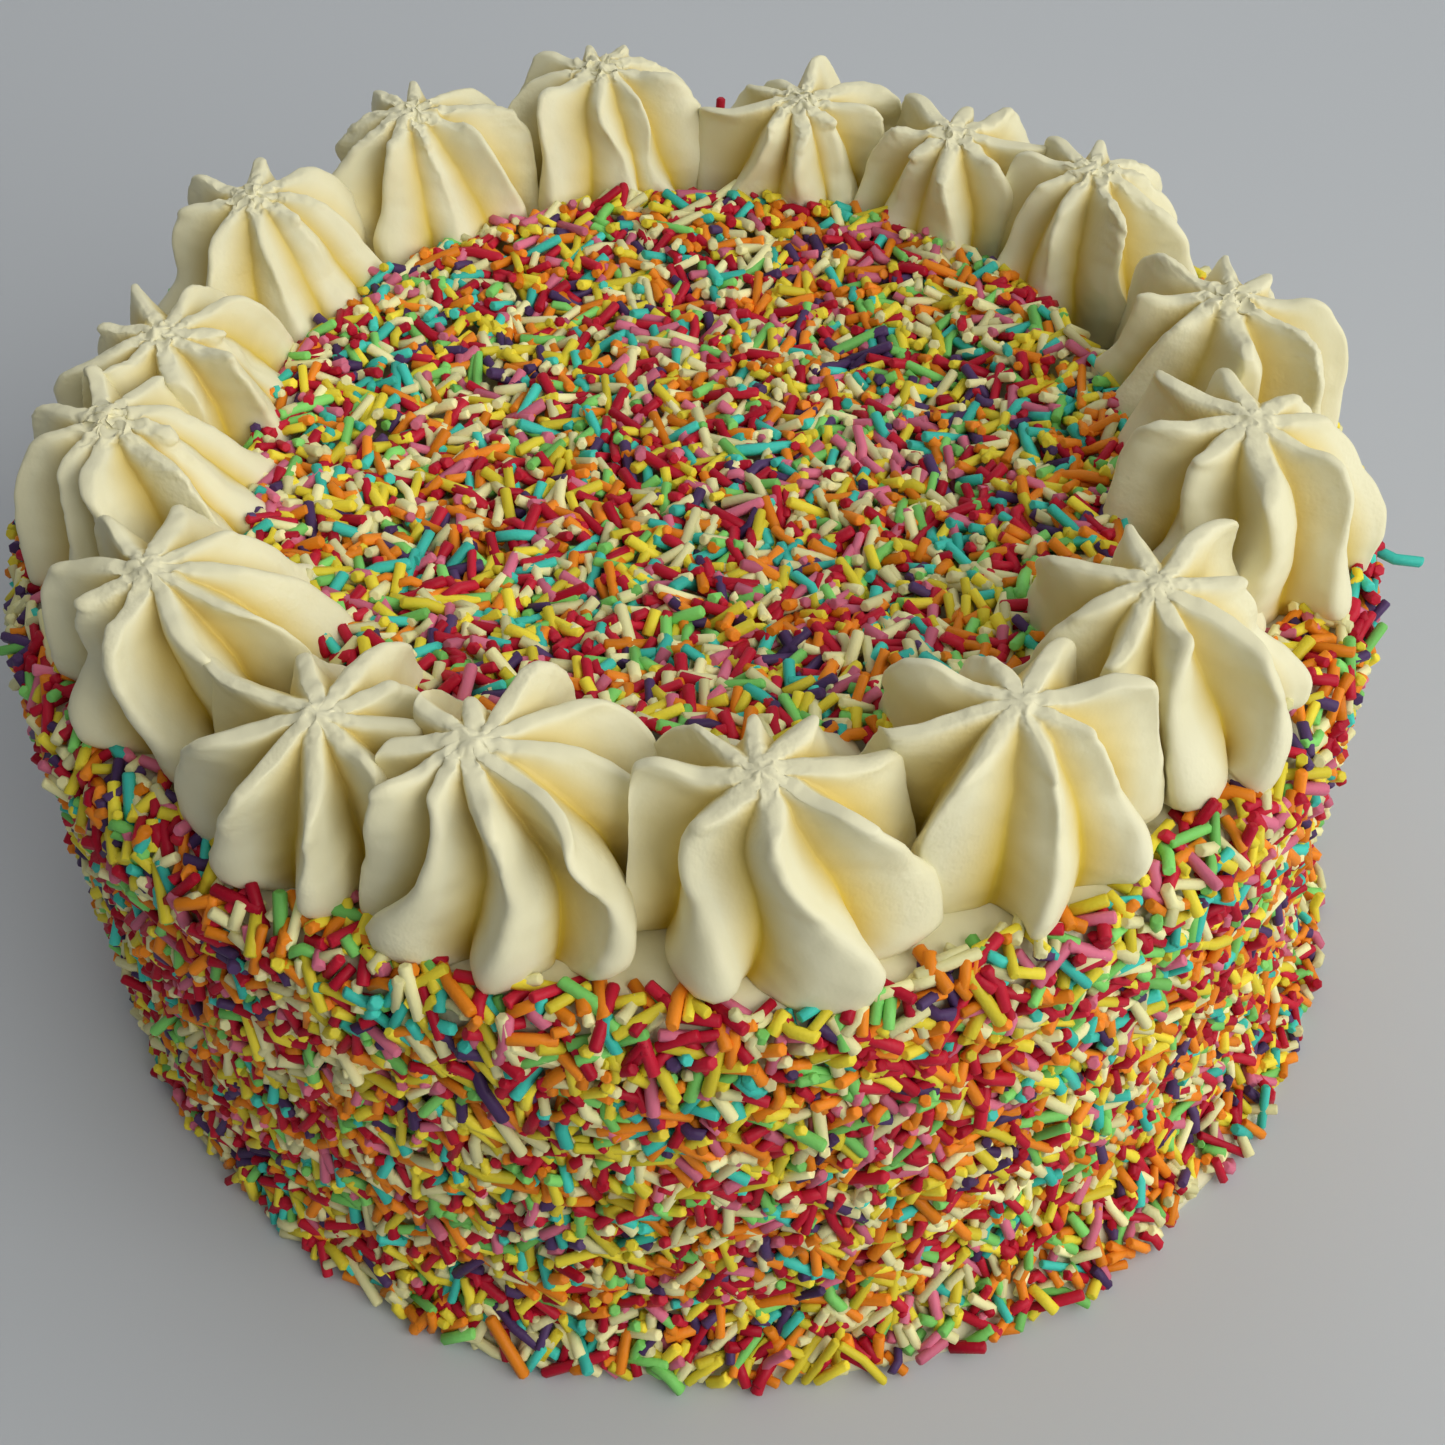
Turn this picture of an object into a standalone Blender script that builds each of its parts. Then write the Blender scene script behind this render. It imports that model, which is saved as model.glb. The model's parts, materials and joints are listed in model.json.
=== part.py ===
"""A round celebration cake: buttercream coated with sugar strands, and a ring of star-piped rosettes.

Metres, +Z up. The origin is the centre of the flat underside, and -Y is the front.
"""

import math
import random
from collections import namedtuple

import bmesh
import bpy
from mathutils import Matrix, Vector
from mathutils.bvhtree import BVHTree

MM = 0.001

# Driving dimensions of the cake
CAKE_RADIUS = 107.0 * MM
CAKE_HEIGHT = 86.5 * MM
TOP_EDGE_RADIUS = 5.0 * MM
BED_RADIUS = 61.0 * MM
BED_DEPTH = 1.6 * MM
CAKE_STEPS = 48
WALL_UNEVENNESS = 0.7 * MM

# The strands that fell while the wall was coated lie heaped at the foot, wider at the front right
FOOT_RADIUS = 111.0 * MM
FOOT_OFFSET = 7.0 * MM
FOOT_BEARING = math.radians(-39)
FOOT_LEAST = 1.5 * MM
FOOT_SPREAD = FOOT_RADIUS + FOOT_OFFSET - CAKE_RADIUS
FOOT_HEIGHT = 14.0 * MM
FOOT_UNEVENNESS = 1.2 * MM

# Driving dimensions of a rosette and of the sugar strands
RIDGE_CREST = 2.6 * MM
WIDEST_CREST_SHARE = 0.22  # half a crest, as a share of the turn from one ridge to the next
PIPING_GAP = 0.3 * MM
STRAND_RADIUS = 0.9 * MM
STRAND_SHORTEST = 6.0 * MM
STRAND_LONGEST = 9.0 * MM
STRAND_SINK = 0.55 * MM
STRANDS_ON_TOP = 46
STRAND_ROWS_ON_WALL = 5
STRANDS_IN_ROW = 21
STRANDS_AT_FOOT = 20
SEED = 16

# Where each rosette stands: its bearing from +X, how far its middle is from the cake's axis, its
# widest radius, its height, its number of ridges, the bearing of its first ridge, and how far its
# tip leans outwards and sways anticlockwise round the ring.
Rosette = namedtuple("Rosette", "bearing reach radius height ridges turn lean sway")
ROSETTES = (
    Rosette(9.4, 86.0, 24.0, 25.0, 8, -16, 1.0, 0.0),
    Rosette(36.0, 85.0, 21.5, 25.5, 9, 4, 1.0, 1.0),
    Rosette(55.0, 82.5, 21.5, 24.0, 8, -5, -2.0, 0.0),
    Rosette(77.0, 83.0, 21.5, 24.0, 9, 14, -2.5, -1.0),
    Rosette(101.0, 85.0, 22.5, 26.0, 9, 5, 4.0, 1.0),
    Rosette(124.0, 85.0, 22.5, 25.5, 9, 5, 4.0, 1.5),
    Rosette(148.6, 84.5, 22.5, 25.0, 8, 17, 4.0, 0.0),
    Rosette(171.5, 83.0, 23.0, 24.0, 9, -2, 1.0, 4.0),
    Rosette(191.5, 83.0, 22.5, 25.0, 9, 0, 5.5, -3.0),
    Rosette(214.5, 83.0, 23.0, 25.5, 9, 22, 5.5, -2.0),
    Rosette(236.5, 85.0, 22.0, 24.5, 9, 23, 3.5, 2.5),
    Rosette(255.0, 84.5, 23.5, 26.0, 10, 18, 1.0, -4.5),
    Rosette(278.0, 85.0, 23.5, 25.5, 8, 20, 2.0, -2.0),
    Rosette(300.6, 85.0, 22.5, 25.0, 8, 9, 1.0, 0.0),
    Rosette(321.5, 84.5, 23.0, 25.0, 8, -1, -1.5, -1.0),
    Rosette(348.0, 86.5, 24.0, 25.0, 8, -7, -1.0, 1.0),
)

# A ridge's outline from foot to tip: the share of the height, the share of the widest radius, and
# how far in the valleys lie as a share of that.
RIDGE_OUTLINE = (
    (0.00, 0.80, 0.60),
    (0.18, 0.96, 0.52),
    (0.42, 1.00, 0.46),
    (0.68, 0.90, 0.43),
    (0.86, 0.69, 0.42),
    (0.95, 0.40, 0.46),
    (0.98, 0.15, 0.70),
)

BUTTERCREAM = ("buttercream", "EBDFB4", 0.55)
STRAND_COLOURS = (
    ("sugar strand, cream", "EFE6C4", 0.40),
    ("sugar strand, yellow", "E8C53A", 0.40),
    ("sugar strand, orange", "E07A1F", 0.40),
    ("sugar strand, crimson", "A8182F", 0.40),
    ("sugar strand, pink", "CF6F86", 0.40),
    ("sugar strand, green", "7CC46A", 0.40),
    ("sugar strand, turquoise", "3FB6A4", 0.40),
    ("sugar strand, purple", "4A2F55", 0.40),
)


def clear_scene():
    for obj in list(bpy.data.objects):
        bpy.data.objects.remove(obj)


def new_collection(name):
    collection = bpy.data.collections.new(name)
    bpy.context.scene.collection.children.link(collection)
    return collection


def linear(channel):
    """One sRGB channel, from 0 to 1, as the linear value that a shader takes."""
    return channel / 12.92 if channel <= 0.04045 else ((channel + 0.055) / 1.055) ** 2.4


def food_material(name, colour, roughness):
    material = bpy.data.materials.new(name)
    material.use_nodes = True
    shader = material.node_tree.nodes["Principled BSDF"]
    channels = [int(colour[i : i + 2], 16) / 255 for i in (0, 2, 4)]
    shader.inputs["Base Color"].default_value = (*map(linear, channels), 1.0)
    shader.inputs["Roughness"].default_value = roughness
    shader.inputs["Metallic"].default_value = 0.0
    return material


def polar(radius, bearing, height=0.0):
    return Vector((radius * math.cos(bearing), radius * math.sin(bearing), height))


def object_from_bmesh(name, shape, collection, material):
    mesh = bpy.data.meshes.new(name)
    shape.to_mesh(mesh)
    shape.free()
    mesh.materials.append(material)
    obj = bpy.data.objects.new(name, mesh)
    collection.objects.link(obj)
    return obj


def applied(obj):
    """Turns an object's evaluated shape into its own mesh, and drops the modifiers."""
    bpy.context.view_layer.update()
    graph = bpy.context.evaluated_depsgraph_get()
    mesh = bpy.data.meshes.new_from_object(obj.evaluated_get(graph))
    obj.modifiers.clear()
    obj.data = mesh
    mesh.name = obj.name


def cake_profile():
    """Half of the cake's outline, from the middle of the top, down the wall, to the underside."""
    bed = CAKE_HEIGHT + BED_DEPTH
    points = [(0.0, bed), (BED_RADIUS * 0.55, bed), (BED_RADIUS - BED_DEPTH, bed)]
    points.append((BED_RADIUS + BED_DEPTH, CAKE_HEIGHT))
    edge_middle = (CAKE_RADIUS - TOP_EDGE_RADIUS, CAKE_HEIGHT - TOP_EDGE_RADIUS)
    for degrees in (90, 60, 30, 0):
        angle = math.radians(degrees)
        x = edge_middle[0] + TOP_EDGE_RADIUS * math.cos(angle)
        points.append((x, edge_middle[1] + TOP_EDGE_RADIUS * math.sin(angle)))
    for share in (0.70, 0.45, 0.25):
        points.append((CAKE_RADIUS, CAKE_HEIGHT * share))
    points.append((CAKE_RADIUS + 0.04 * FOOT_SPREAD, FOOT_HEIGHT))
    points.append((CAKE_RADIUS + 0.38 * FOOT_SPREAD, FOOT_HEIGHT * 0.45))
    points.append((CAKE_RADIUS + FOOT_SPREAD, FOOT_HEIGHT * 0.12))
    points.append((CAKE_RADIUS + 0.90 * FOOT_SPREAD, 0.0))
    points.append((CAKE_RADIUS * 0.55, 0.0))
    points.append((0.0, 0.0))
    return points


def foot_reach(bearing):
    """How far from the cake's axis the heap at the foot reaches, in a circle that is off centre."""
    away = bearing - FOOT_BEARING
    across = FOOT_OFFSET * math.sin(away)
    reach = FOOT_OFFSET * math.cos(away) + math.sqrt(FOOT_RADIUS**2 - across**2)
    return max(reach, CAKE_RADIUS + FOOT_LEAST)


def unevenness(bearing, height):
    """How far hand-spread buttercream stands in or out here, from -1 to 1."""
    slow = math.sin(2 * bearing + 0.7) + math.sin(5 * bearing + 2.1 + 30 * height)
    quick = math.sin(9 * bearing - 1.3 + 55 * height)
    return (slow + quick) / 3


def make_cake(collection):
    """The coated cake: a turned outline whose wall and foot are then made as uneven as by hand."""
    mesh = bpy.data.meshes.new("cake")
    points = [(x, 0.0, z) for x, z in cake_profile()]
    mesh.from_pydata(points, [(i, i + 1) for i in range(len(points) - 1)], [])
    cake = bpy.data.objects.new("cake", mesh)
    collection.objects.link(cake)
    turning = cake.modifiers.new("turned outline", "SCREW")
    turning.steps = CAKE_STEPS
    turning.render_steps = CAKE_STEPS
    turning.use_merge_vertices = True
    turning.merge_threshold = 0.01 * MM
    applied(cake)
    for vertex in cake.data.vertices:
        x, y, z = vertex.co
        radius = math.hypot(x, y)
        if radius < CAKE_RADIUS * 0.9 or z > CAKE_HEIGHT - TOP_EDGE_RADIUS / 2:
            continue
        bearing = math.atan2(y, x)
        at_foot = max(0.0, 1.0 - z / FOOT_HEIGHT)
        spread = max(0.0, radius - CAKE_RADIUS) / FOOT_SPREAD
        moved = spread * (foot_reach(bearing) - CAKE_RADIUS - FOOT_SPREAD)
        moved += WALL_UNEVENNESS * unevenness(bearing, z)
        moved += at_foot * FOOT_UNEVENNESS * unevenness(1.7 * math.pi - bearing, 0.0)
        vertex.co.x += moved * x / radius
        vertex.co.y += moved * y / radius
    cake.data.materials.append(food_material(*BUTTERCREAM))
    return cake


def rosette_middle(rosette):
    return polar(rosette.reach * MM, math.radians(rosette.bearing), CAKE_HEIGHT + PIPING_GAP)


def kept_side(rosette, neighbour):
    """A point on the plane where two rosettes press together, and the way out of the first one."""
    here = rosette_middle(rosette)
    way = rosette_middle(neighbour) - here
    outwards = way.normalized()
    return here + way / 2 - outwards * PIPING_GAP / 2, outwards


def star_section(rosette, outline, valley):
    """The points round a ridged section, as distances from its middle and bearings."""
    crest = rosette.radius * MM * outline
    pitch = 2 * math.pi / rosette.ridges
    half_crest = min(RIDGE_CREST / 2 / crest, WIDEST_CREST_SHARE * pitch)
    first = math.radians(rosette.turn)
    for ridge in range(rosette.ridges):
        middle = first + ridge * pitch
        yield crest, middle - half_crest
        yield crest, middle + half_crest
        yield crest * valley, middle + pitch / 2


def make_rosette(name, rosette, neighbours, collection, material):
    """A star-piped rosette: ridged sections that swell, close to a tip, and stop at neighbours."""
    foot = rosette_middle(rosette)
    planes = [kept_side(rosette, neighbour) for neighbour in neighbours]
    outward = math.radians(rosette.bearing)
    leaning = polar(rosette.lean * MM, outward) + polar(rosette.sway * MM, outward + math.pi / 2)
    shape = bmesh.new()
    rings = []
    for share, outline, valley in RIDGE_OUTLINE:
        middle = foot + Vector((0, 0, rosette.height * MM * share)) + leaning * share**2
        ring = []
        for distance, bearing in star_section(rosette, outline, valley):
            ray = polar(1.0, bearing)
            for on_plane, outwards in planes:
                facing = ray.dot(outwards)
                if facing > 0:
                    distance = min(distance, (on_plane - middle).dot(outwards) / facing)
            ring.append(shape.verts.new(middle + ray * distance))
        rings.append(ring)
    tip = shape.verts.new(foot + Vector((0, 0, rosette.height * MM)) + leaning)
    count = len(rings[0])
    for lower, upper in zip(rings, rings[1:]):
        for i in range(count):
            j = (i + 1) % count
            shape.faces.new((lower[i], lower[j], upper[j], upper[i]))
    for i in range(count):
        shape.faces.new((rings[-1][i], rings[-1][(i + 1) % count], tip))
    base = shape.verts.new(foot)
    for i in range(count):
        shape.faces.new((rings[0][(i + 1) % count], rings[0][i], base))
    return object_from_bmesh(name, shape, collection, material)


def make_rosettes(collection):
    material = food_material(*BUTTERCREAM)
    for i, rosette in enumerate(ROSETTES):
        neighbours = (ROSETTES[i - 1], ROSETTES[(i + 1) % len(ROSETTES)])
        make_rosette(f"rosette_{i + 1:02d}", rosette, neighbours, collection, material)


def strand_places(draw):
    """Rays that reach the cake's skin where strands lie: a start and a direction for each."""
    golden_turn = math.pi * (3 - math.sqrt(5))
    for i in range(STRANDS_ON_TOP):
        radius = (BED_RADIUS - STRAND_LONGEST / 2) * math.sqrt((i + 0.5) / STRANDS_ON_TOP)
        start = polar(radius, i * golden_turn, 2 * CAKE_HEIGHT)
        yield start, Vector((0, 0, -1))
    lowest = FOOT_HEIGHT + STRAND_LONGEST / 2
    highest = CAKE_HEIGHT - TOP_EDGE_RADIUS - STRAND_LONGEST / 2
    for row in range(STRAND_ROWS_ON_WALL):
        for column in range(STRANDS_IN_ROW):
            share = (row + draw.uniform(0.1, 0.9)) / STRAND_ROWS_ON_WALL
            turn = column + 0.5 * (row % 2) + draw.uniform(-0.2, 0.2)
            bearing = 2 * math.pi * turn / STRANDS_IN_ROW
            height = lowest + (highest - lowest) * share
            yield polar(2 * CAKE_RADIUS, bearing, height), -polar(1.0, bearing)
    for i in range(STRANDS_AT_FOOT):
        bearing = 2 * math.pi * (i + draw.uniform(0.0, 0.5)) / STRANDS_AT_FOOT
        height = FOOT_HEIGHT * draw.uniform(0.42, 0.55)
        yield polar(2 * CAKE_RADIUS, bearing, height), -polar(1.0, bearing)


def make_strand(place, outwards, draw, collection, material):
    """One sugar strand: a six-sided rod with blunt points, lying on the skin and partly sunk."""
    length = draw.uniform(STRAND_SHORTEST, STRAND_LONGEST)
    shape = bmesh.new()
    bmesh.ops.create_uvsphere(shape, u_segments=6, v_segments=3, radius=STRAND_RADIUS)
    for vertex in shape.verts:
        vertex.co.z += math.copysign(length / 2 - STRAND_RADIUS, vertex.co.z)
    if outwards.z > 0.9:
        lie = draw.uniform(0.0, math.pi)
    elif place.z < FOOT_HEIGHT:
        lie = draw.uniform(-0.3, 0.3)
    else:
        lie = draw.uniform(-1.4, 1.4)
    along = Vector((0, 0, 1)).cross(outwards)
    along = along.normalized() if along.length > 0.1 else Vector((1, 0, 0))
    along = Matrix.Rotation(lie, 3, outwards) @ along
    strand = object_from_bmesh("strand", shape, collection, material)
    middle = place + outwards * (STRAND_RADIUS - STRAND_SINK)
    turned = along.to_track_quat("Z", "Y").to_matrix().to_4x4()
    strand.matrix_world = Matrix.Translation(middle) @ turned
    return strand


def coat_with_strands(cake):
    """Lays the strands on the cake's skin and joins them to it in one union."""
    draw = random.Random(SEED)
    strands = new_collection("sugar strands")
    materials = [food_material(*colour) for colour in STRAND_COLOURS]
    bpy.context.view_layer.update()
    skin = BVHTree.FromObject(cake, bpy.context.evaluated_depsgraph_get())
    for start, way in strand_places(draw):
        place, outwards = skin.ray_cast(start, way)[:2]
        make_strand(place, outwards, draw, strands, draw.choice(materials))
    joining = cake.modifiers.new("strands", "BOOLEAN")
    joining.operation = "UNION"
    joining.operand_type = "COLLECTION"
    joining.collection = strands
    joining.solver = "EXACT"
    joining.material_mode = "TRANSFER"
    applied(cake)
    for strand in list(strands.objects):
        bpy.data.objects.remove(strand)
    bpy.data.collections.remove(strands)


def main():
    clear_scene()
    collection = new_collection("celebration cake")
    cake = make_cake(collection)
    coat_with_strands(cake)
    make_rosettes(collection)
    for obj in collection.objects:
        obj.data.shade_smooth()
        obj.data.set_sharp_from_angle(angle=math.radians(50))


main()
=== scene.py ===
"""The looks of a celebration cake: buttercream, star-piped rosettes and thousands of sugar strands.

Metres, +Z up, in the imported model's frame. The origin is the centre of the underside, -Y the front.
"""

import json
import math
from collections import namedtuple

import bpy
import numpy as np
from mathutils import Matrix, Vector, noise

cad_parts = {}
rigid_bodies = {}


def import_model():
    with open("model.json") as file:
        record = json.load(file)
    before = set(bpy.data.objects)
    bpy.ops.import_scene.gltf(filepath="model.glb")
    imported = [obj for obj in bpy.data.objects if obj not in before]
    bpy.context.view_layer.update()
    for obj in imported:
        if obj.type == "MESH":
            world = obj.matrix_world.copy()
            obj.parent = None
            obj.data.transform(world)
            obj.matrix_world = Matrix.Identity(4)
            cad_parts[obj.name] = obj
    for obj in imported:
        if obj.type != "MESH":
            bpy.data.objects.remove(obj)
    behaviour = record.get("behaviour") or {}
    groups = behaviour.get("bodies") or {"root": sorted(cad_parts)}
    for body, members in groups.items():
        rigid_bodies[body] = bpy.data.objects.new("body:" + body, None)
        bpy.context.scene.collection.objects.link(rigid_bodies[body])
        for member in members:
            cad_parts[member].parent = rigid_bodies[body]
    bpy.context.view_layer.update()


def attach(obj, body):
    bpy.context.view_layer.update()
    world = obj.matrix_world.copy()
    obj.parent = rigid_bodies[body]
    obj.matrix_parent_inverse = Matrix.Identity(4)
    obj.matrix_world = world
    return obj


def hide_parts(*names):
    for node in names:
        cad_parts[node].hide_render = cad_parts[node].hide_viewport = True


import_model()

MM = 0.001
SEED = 16

# The cake's driving dimensions, as its solids have them
CAKE_RADIUS = 107.0 * MM
CAKE_HEIGHT = 86.5 * MM
TOP_EDGE_RADIUS = 5.0 * MM
BED_RADIUS = 71.0 * MM
WALL_UNEVENNESS = 0.7 * MM
FOOT_RADIUS = 111.0 * MM
FOOT_OFFSET = 7.0 * MM
FOOT_BEARING = math.radians(-39)
FOOT_LEAST = 1.5 * MM
FOOT_HEIGHT = 14.0 * MM
FOOT_UNEVENNESS = 1.2 * MM

# The spread buttercream: its mesh, how far in from the rim that begins, how far it tucks in under
# the foot, and the ripples that a spatula leaves in it
BODY_TURNS = 420
BODY_STEP = 1.1 * MM
RIM_INSET = 14.0 * MM
FOOT_TUCK = 0.985
RIPPLE_DEPTH = 0.25 * MM
RIPPLE_SCALE = 120.0

# Where each rosette stands, as its solid does: its bearing from +X, how far its middle is from the
# cake's axis, its widest radius, its height, its number of ridges, the bearing of its first ridge,
# how far its tip leans outwards and sways anticlockwise, how far its ridges curl, and how torn its
# tip is.
Rosette = namedtuple("Rosette", "bearing reach radius height ridges turn lean sway curl torn")
ROSETTES = (
    Rosette(9.4, 86.0, 24.0, 25.0, 8, -16, 1.0, 0.0, 10, 0.9),
    Rosette(36.0, 85.0, 21.5, 25.5, 9, 4, 1.0, 1.0, -8, 0.9),
    Rosette(55.0, 82.5, 21.5, 24.0, 8, -5, -2.0, 0.0, -10, 0.8),
    Rosette(77.0, 83.0, 21.5, 24.0, 9, 14, -2.5, -1.0, 16, 0.9),
    Rosette(101.0, 85.0, 22.5, 26.0, 9, 5, 4.0, 1.0, -16, 1.0),
    Rosette(124.0, 85.0, 22.5, 25.5, 9, 5, 4.0, 1.5, 9, 1.0),
    Rosette(148.6, 84.5, 22.5, 25.0, 8, 17, 4.0, 0.0, -7, 0.9),
    Rosette(171.5, 83.0, 23.0, 24.0, 9, -2, 1.0, 4.0, 8, 0.7),
    Rosette(191.5, 83.0, 22.5, 25.0, 9, 0, 5.5, -3.0, -6, 1.0),
    Rosette(214.5, 83.0, 23.0, 25.5, 9, 22, 5.5, -2.0, -9, 0.5),
    Rosette(236.5, 85.0, 22.0, 24.5, 9, 23, 3.5, 2.5, 9, 0.4),
    Rosette(255.0, 84.5, 23.5, 26.0, 10, 18, 1.0, -4.5, 12, 0.5),
    Rosette(278.0, 85.0, 23.5, 25.5, 8, 20, 2.0, -2.0, -14, 0.4),
    Rosette(300.6, 85.0, 22.5, 25.0, 8, 9, 1.0, 0.0, 9, 0.3),
    Rosette(321.5, 84.5, 23.0, 25.0, 8, -1, -1.5, -1.0, 14, 0.4),
    Rosette(348.0, 86.5, 24.0, 25.0, 8, -7, -1.0, 1.0, 11, 0.4),
)

# A ridge's outline from foot to tip: the share of the height, the share of the widest radius, and
# how far in the valleys lie as a share of that.
RIDGE_OUTLINE = (
    (0.00, 0.83, 0.82),
    (0.07, 0.92, 0.73),
    (0.18, 0.99, 0.65),
    (0.42, 0.99, 0.57),
    (0.58, 0.93, 0.53),
    (0.72, 0.83, 0.50),
    (0.84, 0.68, 0.48),
    (0.92, 0.50, 0.48),
    (0.96, 0.34, 0.50),
    (0.975, 0.21, 0.58),
    (0.985, 0.11, 0.80),
    (1.00, 0.045, 1.00),
)

# A rosette's mesh: rows from foot to tip, and points on each flank and each crest
ROSETTE_ROWS = 100
FLANK_POINTS = 9
CREST_POINTS = 6

# A ridge's section: the crest's width up the ridge and at the foot, the share of the height below
# which it widens, how the widths vary, how far a flank bows out as a share of the ridge's reach, and
# the most, in radians, that a crest's round end closes in
RIDGE_CREST = 1.7 * MM
FOOT_CREST = 8.5 * MM
CREST_SWELL_SHARE = 0.68
CREST_PLUMPNESS = (0.5, 1.5)
FLANK_BULGE = (-0.012, 0.034)
MOST_CLOSING = 1.2

# How the ridges of one rosette differ: mostly shares of a ridge's reach, with turns in degrees. The
# two for squared ridges, which stay wide near the top, are powers of the outline. Bells are drawn in
# above a flaring foot.
RIDGE_LENGTH_SPREAD = 0.07
RIDGE_TURN_SPREAD = 6.0
FOOT_LENGTH_SPREAD = 0.05
FOOT_SPLAY = 0.03
INNER_SHORTER = 0.2
PEAK_LIFT = 2.6 * MM
SQUARED_MOST = 0.55
BELL_MOST = 0.42
SIDES_SQUARED = 0.3
SIDES_LONGER = 0.07
RUFFLE_MOST = 0.05

# How a rosette sits: how far from the cake's axis its foot is held back, and how far past that it
# may still reach, how far it swells past its neighbour's plane, and how deep it sinks in the cake
OVERHANG_STARTS = 104.5 * MM
OVERHANG_MOST = 4.0 * MM
PRESSED_BULGE = 1.2 * MM
PIPED_SINK = 0.4 * MM

# How rough the cream is: all over, at the torn tip, and on high crests as a share of the tip
CREAM_WAVE = 0.3 * MM
TORN_DEPTH = 1.5 * MM
TORN_RADIUS = 6.5 * MM
CRUMBLED_CREST = 0.32

# The sugar strands: their sizes, how many are laid, and the straight and bent shapes
STRAND_RADIUS = 0.9 * MM
STRAND_SHORTEST = 2.6 * MM
STRAND_LONGEST = 11.0 * MM
STRANDS_ON_WALL = 17000
STRANDS_ON_TOP = 6400
STRAND_BENDS = (0.0, 0.0, 0.0, 0.9)

# How strands come to rest. Each takes the lowest of a few spots, and one that ends up nearly buried
# is left out.
GRID_STEP = 0.45 * MM
STEEPEST = 0.9
TRIES_FOR_A_LOW_SPOT = 4
LEAST_SHOWN_SHARE = 0.15
STANDING_OUT_SHARE = 0.03
STRAND_SINK = 0.6 * MM
COAT_THICKEST = 2.6 * MM
BED_THICKEST = 4.5 * MM
BED_RISE_AT_ROSETTES = 5.0 * MM

# Where the coat begins and ends along the wall's outline. It begins lowest at one bearing, near the
# front, in degrees. Over 1, the crowding lays more strands near the upper edge.
COAT_STARTS = 7.0 * MM
COAT_LOWEST_BEARING = 286.0
COAT_LOW_WIDTH = 33.0
COAT_LOW_DEPTH = 10.0 * MM
EDGE_CROWDING = 1.14
FOOT_INSET = 0.4 * MM

# How much of a rosette's radius keeps the rim clear of strands, and how far down the rim counts
PIPED_OVER_SHARE = 0.74
RIM_DEPTH = 4.0 * MM

# Each colour of strand, with its share of the strands on the wall and on the top
Strand = namedtuple("Strand", "name colour on_wall on_top")
STRANDS = (
    Strand("cream", "EFE9AC", 0.19, 0.20),
    Strand("yellow", "EEDB3A", 0.18, 0.17),
    Strand("orange", "F08A18", 0.18, 0.16),
    Strand("crimson", "BE0E2E", 0.21, 0.19),
    Strand("pink", "D8708A", 0.06, 0.08),
    Strand("green", "82D46A", 0.07, 0.07),
    Strand("turquoise", "42CAB8", 0.06, 0.08),
    Strand("purple", "4E3462", 0.05, 0.05),
)

# Two strands that stick out of the coat at the rim: the colour, the middle, the way it points, and
# the length, in millimetres
OddStrand = namedtuple("OddStrand", "name middle way length")
ODD_STRANDS = (
    OddStrand("crimson", (4.0, 106.5, 89.5), (0.1, 0.15, 1.0), 8.5),
    OddStrand("turquoise", (111.5, -17.0, 83.5), (1.0, -0.3, -0.15), 8.5),
)

# The buttercream's finish: its two pale shades, the deep gold of the painted shade in its creases,
# the range of depths over which that painted shade comes in, and how deep and how strong its pores are
CREAM_PALE = "EDE9C8"
CREAM_DEEPER = "E8E1B8"
CREASE_PAINTED_SHADE = "D6B944"
PAINTED_SHADE_STARTS = 0.12
PAINTED_SHADE_IS_FULL = 0.88
PORE_DEPTH = 0.5 * MM
SPREAD_POROUS = 0.35
PIPED_POROUS = 0.25

# A strand's finish: how much darker and lighter single strands are, and how deep the grain is
DARKEST_TINT = 0.78
LIGHTEST_TINT = 1.14
GRAIN_DEPTH = 0.2 * MM

# The camera, fitted to the photograph, in millimetres and degrees
CAMERA_PLACE = (8.0, -246.5, 293.0)
CAMERA_TURN = (42.83, 0.72, 0.13)
CAMERA_LENS = 48.58

# The lamps, square and facing the cake: places and sizes in metres, powers in watts
Lamp = namedtuple("Lamp", "name place size power colour")
LAMPS = (
    Lamp("window", (1.0, -0.9, 0.9), 1.2, 15.4, "FFFEFA"),
    Lamp("side glow", (1.3, 0.1, 0.7), 1.2, 7.3, "FFFEFA"),
    Lamp("ceiling", (0.0, 0.0, 1.8), 2.4, 5.9, "FAFCFF"),
    Lamp("back glow", (-0.2, 1.3, 1.0), 1.4, 4.7, "FAFCFF"),
)
LAMPS_AIM = (0.0, 0.0, 0.05)
SKY_COLOUR = "F0F3F6"
SKY_STRENGTH = 0.15

# The floor's two close shades, and half its width in metres
FLOOR_COLOURS = ("C1C5C9", "C5C9CC")
FLOOR_REACH = 3.0


def linear(colour):
    """An sRGB hex colour as the linear colour that a shader takes."""
    channels = [int(colour[i : i + 2], 16) / 255 for i in (0, 2, 4)]
    low = [c / 12.92 for c in channels]
    high = [((c + 0.055) / 1.055) ** 2.4 for c in channels]
    return (*(a if c <= 0.04045 else b for c, a, b in zip(channels, low, high)), 1.0)


def add_node(tree, kind, settings=None, links=None, **values):
    """Adds a node with its settings, its links from other nodes' outputs, and its inputs' values."""
    node = tree.nodes.new(kind)
    for name, value in (settings or {}).items():
        setattr(node, name, value)
    for name, value in values.items():
        node.inputs[name.replace("_", " ")].default_value = value
    for name, output in (links or {}).items():
        tree.links.new(output, node.inputs[name])
    return node


def new_material(name):
    material = bpy.data.materials.new(name)
    material.use_nodes = True
    return material, material.node_tree, material.node_tree.nodes["Principled BSDF"]


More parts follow.
